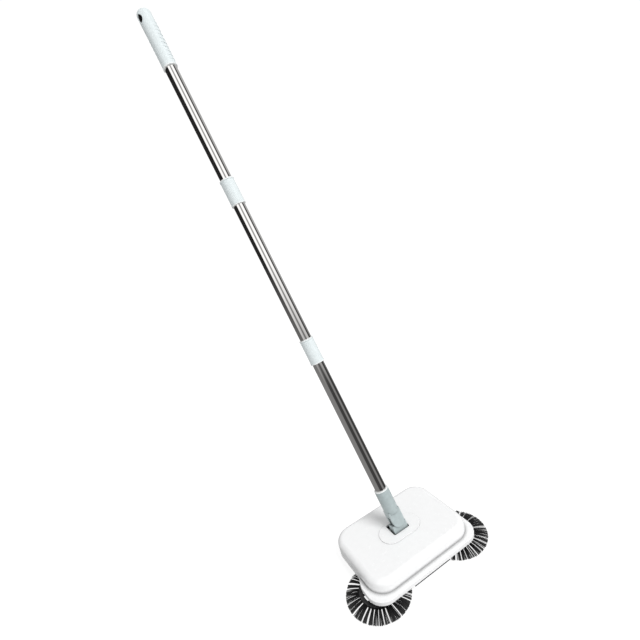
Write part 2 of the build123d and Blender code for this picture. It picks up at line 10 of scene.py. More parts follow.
import bmesh
import bpy
from bpy.props import FloatProperty, FloatVectorProperty, IntProperty, PointerProperty
from mathutils import Matrix, Vector
from mathutils.bvhtree import BVHTree


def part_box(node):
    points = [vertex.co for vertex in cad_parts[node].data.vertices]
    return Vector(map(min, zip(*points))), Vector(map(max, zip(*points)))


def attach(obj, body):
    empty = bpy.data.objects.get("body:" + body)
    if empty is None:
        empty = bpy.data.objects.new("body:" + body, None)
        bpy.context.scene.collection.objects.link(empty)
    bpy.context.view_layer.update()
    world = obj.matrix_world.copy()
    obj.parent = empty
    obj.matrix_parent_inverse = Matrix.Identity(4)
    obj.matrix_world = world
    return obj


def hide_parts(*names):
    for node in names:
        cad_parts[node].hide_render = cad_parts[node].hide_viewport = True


bl_info = {
    "name": "Carpet Sweeper Looks",
    "version": (1, 0, 0),
    "blender": (4, 5, 0),
    "location": "View3D > Sidebar > Sweeper",
    "description": "Builds the brushes, grip, small parts and finishes of a push carpet sweeper",
    "category": "Object",
}

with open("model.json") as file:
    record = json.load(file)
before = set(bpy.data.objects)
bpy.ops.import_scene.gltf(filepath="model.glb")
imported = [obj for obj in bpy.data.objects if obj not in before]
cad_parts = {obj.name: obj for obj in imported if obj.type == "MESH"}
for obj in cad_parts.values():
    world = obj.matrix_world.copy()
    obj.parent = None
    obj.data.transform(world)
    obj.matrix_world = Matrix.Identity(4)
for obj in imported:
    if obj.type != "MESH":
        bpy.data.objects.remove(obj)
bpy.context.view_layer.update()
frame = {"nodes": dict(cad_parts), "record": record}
SIDES = ("left", "right")
CONNECTORS = ("connector_lower", "connector_upper")
WHITE = (1.0, 1.0, 1.0, 1.0)
DUST_GREY = (0.52, 0.5, 0.47)
# Painted highlight: colour and width of the pale ring painted round the ends of handle fittings.
RIM_HIGHLIGHT = (0.86, 0.88, 0.88)
RIM_HIGHLIGHT_WIDTH = 0.0017
ROOT_RISE = 0.0030  # bristle roots over the hub's underside
TIP_RISE = 0.0022  # bristle tips over the underside of the piece they stand for
COLLAR_LENGTH = 0.0034
LUG_HEIGHT = 0.0007
SCREW_HEAD = 0.0016
GRIP_BORE = 0.0125
DOME_START = 0.905  # the share of the grip's length where its tip begins to round


# Measuring the frame


def node_points(name):
    """The corners of a carried-over piece's mesh."""
    return [v.co.copy() for v in frame["nodes"][name].data.vertices]


def middle(name):
    low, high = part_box(name)
    return (low + high) / 2


def handle_line():
    """A point on the handle's middle line and the line's direction, up the handle."""
    low, high = middle("tube_lower"), middle("tube_upper")
    return low, (high - low).normalized()


def span_along(name, origin, direction):
    """How far along a line a piece starts and ends."""
    reach = [(p - origin).dot(direction) for p in node_points(name)]
    return min(reach), max(reach)


def mount(name):
    """A mount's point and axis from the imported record."""
    for entry in frame["record"]["mounts"]:
        if entry["name"] == name:
            return Vector(entry["pos_m"]), Vector(entry["axis"]).normalized()
    raise RuntimeError(f"the record has no mount {name}")


def loose_boxes(name, distance):
    """The box of each separate solid of a piece, told apart by the gaps between them."""
    groups = []
    for point in node_points(name):
        near = [g for g in groups if (g[0] - point).length < distance]
        if near:
            near[0].append(point)
        else:
            groups.append([point])
    return [(corner(min, group), corner(max, group)) for group in groups]


def corner(pick, points):
    return Vector([pick(point[i] for point in points) for i in range(3)])


# Making meshes


def fill(tree, node, inputs):
    """Fills a node's inputs with values, nodes or sockets."""
    for key, value in inputs.items():
        if isinstance(value, bpy.types.Node):
            value = value.outputs[0]
        if isinstance(value, bpy.types.NodeSocket):
            tree.links.new(value, node.inputs[key])
        else:
            node.inputs[key].default_value = value
    return node


def add(tree, kind, inputs=None, **settings):
    """Adds a node, applies its settings and fills its inputs."""
    node = tree.nodes.new(kind)
    for key, value in settings.items():
        setattr(node, key, value)
    return fill(tree, node, inputs or {})


def math_node(tree, operation, *values):
    return add(tree, "ShaderNodeMath", dict(enumerate(values)), operation=operation)


def times(tree, one, other):
    return math_node(tree, "MULTIPLY", one, other)


def plus(tree, one, other):
    return math_node(tree, "ADD", one, other)


def minus(tree, one, other):
    return math_node(tree, "SUBTRACT", one, other)


def over(tree, one, other):
    return math_node(tree, "DIVIDE", one, other)


def whole_steps(tree, count, size):
    return math_node(tree, "FLOOR", over(tree, count, size))


def vector_math(tree, operation, one, other):
    return add(tree, "ShaderNodeVectorMath", {0: one, 1: other}, operation=operation)


def vector(tree, x=0.0, y=0.0, z=0.0):
    return add(tree, "ShaderNodeCombineXYZ", {0: x, 1: y, 2: z})


def rotation_of(tree, x=0.0, y=0.0, z=0.0):
    return add(tree, "FunctionNodeEulerToRotation", {0: vector(tree, x, y, z)})


def polar(tree, angle, radius):
    """The two coordinates of a point on a circle."""
    cosine, sine = math_node(tree, "COSINE", angle), math_node(tree, "SINE", angle)
    return times(tree, cosine, radius), times(tree, sine, radius)


def jitter(tree, low, high, ident, seed, offset=0):
    """A random number for each ident, between low and high; each offset is a draw of its own."""
    if offset:
        seed = plus(tree, seed, offset)
    node = add(tree, "FunctionNodeRandomValue", {2: low, 3: high, 7: ident, 8: seed})
    return node.outputs[1]


def new_shape_tree(name, **sizes):
    """An empty Geometry Nodes tree with inputs named by kind, and its group input's sockets."""
    tree = bpy.data.node_groups.new(name, "GeometryNodeTree")
    sizes = {"Geometry": ["Geometry"], **sizes, "Material": ["Material"]}
    for kind, labels in sizes.items():
        for label in labels:
            tree.interface.new_socket(label, in_out="INPUT", socket_type="NodeSocket" + kind)
    tree.interface.new_socket("Geometry", in_out="OUTPUT", socket_type="NodeSocketGeometry")
    return tree, tree.nodes.new("NodeGroupInput").outputs


def end_shape_tree(tree, geometry, given):
    """Makes instances real, gives them the material and returns the finished tree."""
    realized = add(tree, "GeometryNodeRealizeInstances", {"Geometry": geometry})
    finished = {"Geometry": realized, "Material": given["Material"]}
    add(tree, "NodeGroupOutput", {"Geometry": add(tree, "GeometryNodeSetMaterial", finished)})
    return tree


def index_node(tree):
    return add(tree, "GeometryNodeInputIndex")


def moved(tree, geometry, **how):
    return add(tree, "GeometryNodeTransform", {"Geometry": geometry, **how})


def swept(tree, path, outline, **more):
    return add(tree, "GeometryNodeCurveToMesh", {"Curve": path, "Profile Curve": outline, **more})


def on_points(tree, points, shape, **how):
    return add(tree, "GeometryNodeInstanceOnPoints", {"Points": points, "Instance": shape, **how})


def joined(tree, first, second):
    node = add(tree, "GeometryNodeJoinGeometry", {"Geometry": first})
    return fill(tree, node, {0: second})


def store(tree, geometry, name, value, domain):
    """Keeps a number on the geometry for its finish to read."""
    inputs = {"Geometry": geometry, "Name": name, "Value": value}
    return add(tree, "GeometryNodeStoreNamedAttribute", inputs, data_type="FLOAT", domain=domain)


def grow(name, tree, values, points=()):
    """Runs a tree on a few points and returns the result as a plain mesh object."""
    seed_mesh = bpy.data.meshes.new(name)
    seed_mesh.from_pydata([tuple(p) for p in points], [], [])
    holder = bpy.data.objects.new(name, seed_mesh)
    bpy.context.scene.collection.objects.link(holder)
    modifier = holder.modifiers.new("grow", "NODES")
    modifier.node_group = tree
    sockets = {s.name: s.identifier for s in tree.interface.items_tree if s.in_out == "INPUT"}
    for label, value in values.items():
        modifier[sockets[label]] = value
    depsgraph = bpy.context.evaluated_depsgraph_get()
    mesh = bpy.data.meshes.new_from_object(holder.evaluated_get(depsgraph), depsgraph=depsgraph)
    holder.modifiers.clear()
    holder.data = mesh
    bpy.data.meshes.remove(seed_mesh)
    mesh.name = name
    return holder


def mesh_object(name, bm, material, smooth=math.radians(40)):
    """Turns a bmesh into an object with one finish."""
    mesh = bpy.data.meshes.new(name)
    bm.to_mesh(mesh)
    bm.free()
    mesh.materials.append(material)
    mesh.shade_smooth()
    mesh.set_sharp_from_angle(angle=smooth)
    obj = bpy.data.objects.new(name, mesh)
    bpy.context.scene.collection.objects.link(obj)
    return obj


def place(obj, body, slot, *nodes):
    """Hangs a finished piece under its body's empty and hides the pieces it stands for; the slot is
    not used.
    """
    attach(obj, body)
    if nodes:
        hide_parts(*nodes)


# Shader groups shared by the finishes


def new_shader_group(name, inputs, outputs):
    tree = bpy.data.node_groups.new(name, "ShaderNodeTree")
    for label, value in inputs.items():
        socket = tree.interface.new_socket(label, in_out="INPUT", socket_type="NodeSocketFloat")
        socket.default_value = value
    for label in outputs:
        tree.interface.new_socket(label, in_out="OUTPUT", socket_type="NodeSocketFloat")
    return tree, tree.nodes.new("NodeGroupInput").outputs


def local(tree):
    return add(tree, "ShaderNodeTexCoord").outputs["Object"]


def noise(tree, where, scale, detail):
    inputs = {"Vector": where, "Scale": scale, "Detail": detail}
    return add(tree, "ShaderNodeTexNoise", inputs).outputs[0]


def ranged(tree, value, low=0.0, high=1.0, to_low=0.0, to_high=1.0):
    """Maps low to high onto another range, and stops at its ends."""
    return add(tree, "ShaderNodeMapRange", {0: value, 1: low, 2: high, 3: to_low, 4: to_high})


def dot(tree, one, other):
    return vector_math(tree, "DOT_PRODUCT", one, other).outputs["Value"]


def surface_group():
    """Moulded or rolled surface: a fine grain, broad unevenness and mottling."""
    tree, given = new_shader_group(
        "moulded_surface", {"Grain Size": 0.0006, "Wave Size": 0.02}, ("Grain", "Wave", "Mottle")
    )
    where, broad = local(tree), over(tree, 1.0, given["Wave Size"])
    grain = noise(tree, where, over(tree, 1.0, given["Grain Size"]), 2.0)
    wave = noise(tree, where, broad, 1.0)
    mottle = ranged(tree, noise(tree, where, times(tree, broad, 3.0), 5.0), 0.35, 0.65)
    add(tree, "NodeGroupOutput", {"Grain": grain, "Wave": wave, "Mottle": mottle})
    return tree


def wear_group():
    """Marks edges by how far a rounded normal leaves the true one, broken up so it isn't a line."""
    tree, given = new_shader_group("edge_wear", {"Edge Width": 0.001, "Break Up": 0.5}, ("Edge",))
    soft = add(tree, "ShaderNodeBevel", {"Radius": given["Edge Width"]}, samples=8)
    true = add(tree, "ShaderNodeNewGeometry").outputs["Normal"]
    edge = ranged(tree, minus(tree, 1.0, dot(tree, soft, true)), 0.05, 0.3)
    patch = ranged(tree, noise(tree, local(tree), 180.0, 3.0), 0.4, 0.6)
    left = minus(tree, 1.0, times(tree, patch, given["Break Up"]))
    add(tree, "NodeGroupOutput", {"Edge": times(tree, edge, left)})
    return tree


def dust_group():
    """House dust that settles on faces looking up, in uneven patches."""
    tree, given = new_shader_group("settled_dust", {"Patch Size": 0.01, "Amount": 0.2}, ("Dust",))
    facing = add(tree, "ShaderNodeNewGeometry").outputs["Normal"]
    up = add(tree, "ShaderNodeSeparateXYZ", {0: facing}).outputs["Z"]
    density = over(tree, 1.0, given["Patch Size"])
    patch = ranged(tree, noise(tree, local(tree), density, 6.0), 0.42, 0.7)
    dust = times(tree, times(tree, ranged(tree, up, 0.2, 0.9), patch), given["Amount"])
    add(tree, "NodeGroupOutput", {"Dust": dust})
    return tree


def painted_seam_shade_group():
    """Painted shade: marks seams and inner corners, where little light comes in."""
    tree, given = new_shader_group("painted_seam_shade", {"Reach": 0.006}, ("Seam Shade",))
    sky = add(tree, "ShaderNodeAmbientOcclusion", {"Distance": given["Reach"]}, samples=8)
    add(tree, "NodeGroupOutput", {"Seam Shade": ranged(tree, sky.outputs["AO"], 0.92, 0.45)})
    return tree


def along_mask(tree, marks, width):
    """A mask of 1 near each of the given places along the handle."""
    line, direction = handle_line()
    up = dot(tree, vector_math(tree, "SUBTRACT", local(tree), line), direction)
    total = 0.0
    for mark in marks:
        off = math_node(tree, "ABSOLUTE", minus(tree, up, mark))
        total = math_node(tree, "MAXIMUM", ranged(tree, off, width, width * 0.8), total)
    return total


def group_node(tree, maker, values):
    """Places a shared group, which is built the first time it is asked for."""
    name = {
        surface_group: "moulded_surface", wear_group: "edge_wear", dust_group: "settled_dust",
        painted_seam_shade_group: "painted_seam_shade",
    }[maker]
    group = bpy.data.node_groups.get(name) or maker()
    return fill(tree, add(tree, "ShaderNodeGroup", node_tree=group), values)


def mix_colour(tree, factor, under, top):
    node = add(tree, "ShaderNodeMix", {0: factor, 6: under, 7: top}, data_type="RGBA")
    return node.outputs[2]


def rgba(colour, lightness=1.0):
    return (*(min(c * lightness, 1.0) for c in colour), 1.0)


def new_finish(name):
    """An empty material with its Principled shader."""
    material = bpy.data.materials.new(name)
    material.use_nodes = True
    tree = material.node_tree
    return material, tree, tree.nodes["Principled BSDF"]


def relief(tree, height, depth, under=None):
    inputs = {"Height": height, "Strength": 1.0, "Distance": depth}
    if under:
        inputs["Normal"] = under
    return add(tree, "ShaderNodeBump", inputs).outputs["Normal"]


def moulded_plastic(
    name, colour, gloss, grain=0.0006, grain_depth=2e-6, wave_depth=6e-6, mottling=0.03,
    wear=0.1, edge=0.0008, dust=0.03, coat=0.0, seam_shade=0.0, highlight_rims=(),
):
    """Injection-moulded plastic: fine grain, slight sink marks, paler rubbed edges, settled dust.

    Seam sets the painted shade in its inner corners; rims are places on the handle with a pale
    painted highlight.
    """
    material, tree, shader = new_finish(name)
    surface = group_node(tree, surface_group, {"Grain Size": grain, "Wave Size": 0.022}).outputs
    worn = group_node(tree, wear_group, {"Edge Width": edge, "Break Up": 0.5})
    dusty = group_node(tree, dust_group, {"Patch Size": 0.012, "Amount": dust})
    mottle = surface["Mottle"]
    shade = mix_colour(tree, mottle, rgba(colour, 1 - mottling), rgba(colour, 1 + mottling))
    shade = mix_colour(tree, times(tree, worn, wear), shade, rgba(colour, 1.6))
    shade = mix_colour(tree, dusty, shade, rgba(DUST_GREY))
    # Painted shade: seams and inner corners are darkened where ambient occlusion finds them closed
    # in.
    if seam_shade:
        seam_shade_mask = group_node(tree, painted_seam_shade_group, {"Reach": 0.009})
        shade = mix_colour(tree, times(tree, seam_shade_mask, seam_shade), shade, rgba(colour, 0.35))
    # Painted highlight: a pale band round each given place along the handle.
    if highlight_rims:
        shade = mix_colour(tree, along_mask(tree, highlight_rims, RIM_HIGHLIGHT_WIDTH), shade, rgba(RIM_HIGHLIGHT))
    rough = ranged(tree, mottle, to_low=gloss * 0.88, to_high=gloss * 1.12)
    rough = plus(tree, rough, times(tree, dusty, 0.6))
    broad = relief(tree, surface["Wave"], wave_depth)
    normal = relief(tree, surface["Grain"], grain_depth, broad)
    more = {"IOR": 1.5, "Coat Weight": coat, "Coat Roughness": 0.12}
    fill(tree, shader, {"Base Color": shade, "Roughness": rough, "Normal": normal, **more})
    return material


def turned_metal(name, colour, gloss, density, depth, wear=0.0, along_handle=False):
    """Metal with fine scratches that run one way, so many to the metre along each axis."""
    material, tree, shader = new_finish(name)
    where = local(tree)
    if along_handle:
        turn = handle_line()[1].to_track_quat("Z", "Y").inverted().to_euler()
        where = add(tree, "ShaderNodeMapping", {"Vector": where, "Rotation": turn})
    stretched = add(tree, "ShaderNodeMapping", {"Vector": where, "Scale": density})
    lines = noise(tree, stretched, 1.0, 4.0)
    cloud = noise(tree, where, 35.0, 4.0)
    shade = mix_colour(tree, cloud, rgba(colour, 0.93), rgba(colour, 1.05))
    if wear:
        worn = group_node(tree, wear_group, {"Edge Width": 0.0006, "Break Up": 0.4})
        shade = mix_colour(tree, times(tree, worn, wear), shade, rgba(colour, 1.4))
    rough = ranged(tree, lines, 0.3, 0.7, gloss * 0.7, gloss * 1.4)
    normal = relief(tree, lines, depth)
    looks = {"Base Color": shade, "Roughness": rough, "Normal": normal, "Metallic": 1.0}
    fill(tree, shader, looks)
    return material


def soft_rubber(name, colour):
    """Matt rubber with a coarse skin, greyed where it has rolled over the floor."""
    material, tree, shader = new_finish(name)
    surface = group_node(tree, surface_group, {"Grain Size": 0.0009, "Wave Size": 0.008}).outputs
    worn = group_node(tree, wear_group, {"Edge Width": 0.0007, "Break Up": 0.7})
    shade = mix_colour(tree, surface["Mottle"], rgba(colour, 0.8), rgba(colour, 1.3))
    shade = mix_colour(tree, times(tree, worn, 0.35), shade, (0.16, 0.155, 0.15, 1.0))
    rough = ranged(tree, surface["Wave"], to_low=0.6, to_high=0.85)
    normal = relief(tree, surface["Grain"], 3e-5)
    fill(tree, shader, {"Base Color": shade, "Roughness": rough, "Normal": normal})
    return material


def bristle_fibre(name, colour, tip_colour):
    """Crimped nylon fibre: each strand has its own shade and is greyer towards its tip."""
    material, tree, shader = new_finish(name)
    strand = add(tree, "ShaderNodeAttribute", attribute_name="strand_shade").outputs["Fac"]
    out = add(tree, "ShaderNodeAttribute", attribute_name="along_strand").outputs["Fac"]
    shade = mix_colour(tree, strand, rgba(colour, 0.5), rgba(colour, 1.9))
    greyed = times(tree, math_node(tree, "POWER", out, 2.0), 0.5)
    shade = mix_colour(tree, greyed, shade, rgba(tip_colour))
    crimp = noise(tree, local(tree), 900.0, 1.0)
    rough = ranged(tree, crimp, to_low=0.32, to_high=0.6)
    looks = {"Base Color": shade, "Roughness": rough, "Normal": relief(tree, crimp, 4e-5)}
    fill(tree, shader, {**looks, "Specular IOR Level": 0.25})
    return material


# What a user would change


def colour_of(name, description, default):
    return FloatVectorProperty(
        name=name, description=description, default=default, subtype="COLOR", min=0, max=1
    )


def length_of(name, description, default):
    return FloatProperty(name=name, description=description, default=default, unit="LENGTH")


def angle_of(name, description, degrees):
    default = math.radians(degrees)
    return FloatProperty(name=name, description=description, default=default, unit="ROTATION")


def count_of(name, description, default, least):
    return IntProperty(name=name, description=description, default=default, min=least)


class SweeperShell(bpy.types.PropertyGroup):
    cover: colour_of("Cover", "Colour of the cover and tray", (0.90, 0.903, 0.906))
    accent: colour_of("Accent", "Colour of the yoke and the sleeve", (0.41, 0.475, 0.48))
    gloss: FloatProperty(
        name="Gloss", description="Roughness of the cover", default=0.24, min=0.02, max=1
    )


class SweeperHandle(bpy.types.PropertyGroup):
    pale: colour_of("Fittings", "Colour of the connectors and grip", (0.74, 0.80, 0.81))
    steel: colour_of("Tubes", "Colour of the tubes' metal", (0.87, 0.855, 0.84))
    hole_width: length_of("Hang Hole Width", "Width of the hang hole", 0.0112)
    hole_length: length_of("Hang Hole Length", "Hang hole, along the handle", 0.0160)
    rib_pitch: length_of("Rib Pitch", "From one finger rib to the next", 0.0085)
    rib_height: length_of("Rib Height", "How far a finger rib stands out", 0.0009)


class SweeperBrushes(bpy.types.PropertyGroup):
    tufts: count_of("Tufts", "Tufts round each side brush", 36, 8)
    strands: count_of("Strands", "Strands in each tuft", 30, 6)
    strand: length_of("Strand Radius", "Radius of one strand", 0.00042)
    root_width: length_of("Tuft Width", "Width of a tuft where it leaves the ring", 0.0049)
    fan: angle_of("Fan", "How far a tuft's outer strands lean away", 4.9)
    uneven: angle_of("Unevenness", "How far a tuft strays from its even place", 1.0)
    fibre: colour_of("Fibre", "Colour of the bristles", (0.008, 0.008, 0.0085))


class SweeperRoller(bpy.types.PropertyGroup):
    rows: count_of("Rows", "Spiral rows of tufts on the roller", 6, 1)
    tufts: count_of("Tufts per Row", "Tufts in each row", 30, 2)
    strands: count_of("Strands", "Strands in each tuft", 10, 3)
    twist: angle_of("Twist", "Turn of a row from end to end", 150)
    lugs: count_of("Tread Lugs", "Lugs round each tyre", 40, 8)


class SweeperStudio(bpy.types.PropertyGroup):
    eye: FloatVectorProperty(
        name="Camera", description="Where the camera stands", subtype="TRANSLATION",
        default=(-0.3382, -0.6285, 0.7504), unit="LENGTH",
    )
    aim: FloatVectorProperty(
        name="Aim", description="Turn, nod and roll of the camera", subtype="EULER",
        default=[math.radians(angle) for angle in (-24.109, -15.833, -14.554)],
    )
    lens: FloatProperty(name="Lens", description="Focal length on a 36 mm film", default=22.845)
    key: FloatProperty(name="Key Light", description="Strength of the soft key light", default=2.1)
    fill: FloatProperty(name="Fill Light", description="Light from all round", default=0.58)


# Finishes of the carried-over pieces


def dress(material, *names):
    """Gives carried-over pieces a finish."""
    for name in names:
        mesh = frame["nodes"][name].data
        mesh.materials.clear()
        mesh.materials.append(material)


class SWEEPER_OT_shell(bpy.types.Operator):
    """Finish the white cover and tray, the drawer and the small pieces of the head"""

    bl_idname = "sweeper.shell"
    bl_label = "Head"

    def execute(self, context):
        look = context.scene.sweeper_shell
        white = look.cover
        # The cover and tray get painted shade in their seams and inner corners.
        cover = moulded_plastic(
            "glossy_white_cover", white, look.gloss, grain_depth=1e-6, wave_depth=1.5e-5,
            mottling=0.008, wear=0.3, dust=0.02, coat=0.1, seam_shade=0.95,
        )
        tray = moulded_plastic(
            "satin_white_tray", white, 0.34, grain=0.0009, grain_depth=4e-6, mottling=0.012,
            seam_shade=0.95,
        )
        dress(cover, "top_cover")
        dress(tray, "base_tray", "roller_hood")
        pale = (0.70, 0.71, 0.715)
        drawer = moulded_plastic("drawer_plastic", pale, 0.38, grain_depth=5e-6, dust=0.12)
        dress(drawer, "dust_drawer")
        dress(soft_rubber("front_lip_rubber", (0.03, 0.03, 0.032)), "front_lip", "dust_flap")
        dress(
            moulded_plastic("bearing_plastic", (0.55, 0.55, 0.53), 0.4, mottling=0.05),
            "axle_bushes", "spindle_bushes", "gear_posts", "gear_washers",
        )
        # The yoke and sleeve get painted shade in their seams, and the sleeve a painted highlight
        # round its upper end.
        sleeve_end = span_along("sleeve", *handle_line())[1]
        accent = moulded_plastic(
            "grey_blue_plastic", look.accent, 0.36, grain=0.0012, grain_depth=1.4e-5,
            mottling=0.05, wear=0.4, edge=0.0012, dust=0.04, seam_shade=0.9, highlight_rims=(sleeve_end,),
        )
        dress(accent, "yoke", "sleeve")
        dark = moulded_plastic("cradle_plastic", (0.05, 0.053, 0.055), 0.45, mottling=0.08)
        dress(dark, "pivot_cradle")
        return {"FINISHED"}


class SWEEPER_OT_running_gear(bpy.types.Operator):
    """Finish the wheels, gears, pins, hubs and spindles"""

    bl_idname = "sweeper.running_gear"
    bl_label = "Running Gear"

    def execute(self, context):
        steel = turned_metal("bright_steel", (0.62, 0.61, 0.6), 0.28, (900, 60, 60), 4e-6, 0.5)
        dress(steel, "drive_axle", "tilt_pin", "sway_pin", "gear_pins", "rear_pins", "axle_clips")
        black = moulded_plastic(
            "black_hub_plastic", (0.022, 0.022, 0.023), 0.38, grain_depth=4e-6, mottling=0.2,
            wear=0.25, dust=0.05,
        )
        dress(black, "wheel_left", "wheel_right", "roller_core")
        rubber = soft_rubber("rear_wheel_rubber", (0.05, 0.05, 0.052))
        dress(rubber, "rear_wheel_left", "rear_wheel_right")
        gear = moulded_plastic(
            "natural_gear_plastic", (0.68, 0.66, 0.58), 0.42, grain_depth=3e-6, mottling=0.06,
            wear=0.3,
        )
        for side in SIDES:
            dress(black, f"brush_hub_{side}")
            dress(steel, f"spindle_{side}", f"brush_screw_{side}")
            for kind in ("pinion", "reduction_gear", "idler_gear", "brush_gear"):
                if f"{kind}_{side}" in frame["nodes"]:
                    dress(gear, f"{kind}_{side}")
        return {"FINISHED"}


class SWEEPER_OT_handle(bpy.types.Operator):
    """Finish the tubes, their connectors and the tube plugs"""

    bl_idname = "sweeper.handle"
    bl_label = "Handle"

    def execute(self, context):
        look = context.scene.sweeper_handle
        tube = turned_metal(
            "polished_stainless", look.steel, 0.055, (1400, 1400, 25), 1.2e-6, along_handle=True
        )
        dress(tube, "tube_lower", "tube_middle", "tube_upper")
        line = handle_line()
        # The connectors get a painted highlight round each end.
        ends = [end for name in CONNECTORS for end in span_along(name, *line)]
        pale = moulded_plastic(
            "pale_fitting_plastic", look.pale, 0.33, grain_depth=2e-6, mottling=0.015, wear=0.25,
            edge=0.001, dust=0.015, highlight_rims=ends,
        )
        dress(pale, *CONNECTORS)
        dress(moulded_plastic("tube_plug_plastic", (0.1, 0.1, 0.1), 0.5), "tube_plugs")
        return {"FINISHED"}


# Bristles


def strand_geometry(tree, reach, drop, radius, segments):
    """One strand from its root at the origin out along X, bending down by drop."""
    bend = {
        "Resolution": segments, "Start": (0.0, 0.0, 0.0),
        "Middle": vector(tree, times(tree, reach, 0.6), 0.0, times(tree, drop, 0.25)),
        "End": vector(tree, reach, 0.0, drop),
    }
    bend = add(tree, "GeometryNodeCurveQuadraticBezier", bend)
    along = add(tree, "GeometryNodeSplineParameter").outputs["Factor"]
    marked = store(tree, bend, "along_strand", along, "POINT")
    outline = add(tree, "GeometryNodeCurvePrimitiveCircle", {"Resolution": 4, "Radius": radius})
    return swept(tree, marked, outline, **{"Fill Caps": True})


def shaded_instances(tree, points, strand, rotation, scale, seed):
    """Puts the strand on every point and gives each its own shade."""
    placed = on_points(tree, points, strand, Rotation=rotation, Scale=scale)
    shade = jitter(tree, 0.0, 1.0, index_node(tree), seed)
    return store(tree, placed, "strand_shade", shade, "INSTANCE")


def scattered(tree, count, spot, centre):
    """Points set out round a centre."""
    spot = vector_math(tree, "ADD", spot, centre)
    cloud = add(tree, "GeometryNodePoints", {"Count": count})
    return add(tree, "GeometryNodeSetPosition", {"Geometry": cloud, "Position": spot})


def tuft_angle(tree, given, tuft):
    """The angle of a tuft round its ring, a little off its even place."""
    stray = times(tree, jitter(tree, -1.0, 1.0, tuft, given["Seed"]), given["Unevenness"])
    return plus(tree, times(tree, tuft, over(tree, math.tau, given["Tufts"])), stray)


def side_brush_tree():
    """Fans of strands in a ring, squared off at the tips, with small collars at their roots."""
    tree, given = new_shape_tree(
        "side_brush_tufts",
        Vector=["Centre"],
        Int=["Tufts", "Strands", "Seed"],
        Float=[
            "Root Radius", "Reach", "Drop", "Strand Radius", "Tuft Width", "Tuft Depth", "Fan",
            "Unevenness",
        ],
    )
    seed, radius, centre = given["Seed"], given["Root Radius"], given["Centre"]
    index = index_node(tree)
    tuft = whole_steps(tree, index, given["Strands"])
    angle = tuft_angle(tree, given, tuft)
    across = jitter(tree, -0.5, 0.5, index, seed, 1)
    across = times(tree, across, jitter(tree, 0.8, 1.15, tuft, seed, 2))
    lift = times(tree, jitter(tree, -0.5, 0.5, index, seed, 3), given["Tuft Depth"])
    x, y = polar(tree, angle, radius)
    aside_y, aside_x = polar(tree, angle, times(tree, across, given["Tuft Width"]))
    spot = vector(tree, minus(tree, x, aside_x), plus(tree, y, aside_y), lift)
    points = scattered(tree, times(tree, given["Tufts"], given["Strands"]), spot, centre)
    splay = times(tree, times(tree, across, 2.0), given["Fan"])
    heading = plus(tree, plus(tree, angle, splay), jitter(tree, -0.035, 0.035, index, seed, 4))
    rotation = rotation_of(tree, 0.0, jitter(tree, -0.03, 0.03, index, seed, 5), heading)
    stretch = vector(tree, jitter(tree, 0.965, 1.0, index, seed, 6), 1.0, 1.0)
    strand = strand_geometry(tree, given["Reach"], given["Drop"], given["Strand Radius"], 3)
    tufts = shaded_instances(tree, points, strand, rotation, stretch, seed)
    even = tuft_angle(tree, given, index)
    ring = scattered(tree, given["Tufts"], vector(tree, *polar(tree, even, radius)), centre)
    base = times(tree, given["Tuft Width"], 0.52)
    collar = {
        "Vertices": 10, "Radius Top": times(tree, base, 0.8), "Radius Bottom": base,
        "Depth": COLLAR_LENGTH,
    }
    collar = add(tree, "GeometryNodeMeshCone", collar).outputs["Mesh"]
    collar = moved(tree, collar, Rotation=(0.0, math.pi / 2, 0.0), Scale=(1.0, 1.0, 0.85))
    collars = on_points(tree, ring, collar, Rotation=rotation_of(tree, z=even))
    return end_shape_tree(tree, joined(tree, tufts, collars), given)


class SWEEPER_OT_side_brushes(bpy.types.Operator):
    """Grow the tufts of the two round side brushes"""

    bl_idname = "sweeper.side_brushes"
    bl_label = "Side Brushes"

    def execute(self, context):
        size = context.scene.sweeper_brushes
        fibre = bristle_fibre("black_nylon_bristle", size.fibre, (0.09, 0.09, 0.09))
        tree = side_brush_tree()
        for number, side in enumerate(SIDES):
            low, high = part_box(f"brush_bristles_{side}")
            hub_low, hub_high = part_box(f"brush_hub_{side}")
            centre = (low + high) / 2
            ring_radius = (hub_high.x - hub_low.x) / 2
            root_height = hub_low.z + ROOT_RISE
            reach = (high.x - low.x) / 2 - ring_radius
            tufts = grow(
                f"brush_tufts_{side}", tree,
                {
                    "Centre": (centre.x, centre.y, root_height), "Tufts": size.tufts,
                    "Strands": size.strands, "Root Radius": ring_radius, "Reach": reach,
                    "Drop": low.z + TIP_RISE - root_height, "Strand Radius": size.strand,
                    "Tuft Width": size.root_width, "Tuft Depth": 0.0026, "Fan": size.fan,
                    "Unevenness": size.uneven, "Seed": 11 + 40 * number, "Material": fibre,
                },
            )
            place(tufts, f"brush_{side}", "bristle", f"brush_bristles_{side}")
        return {"FINISHED"}


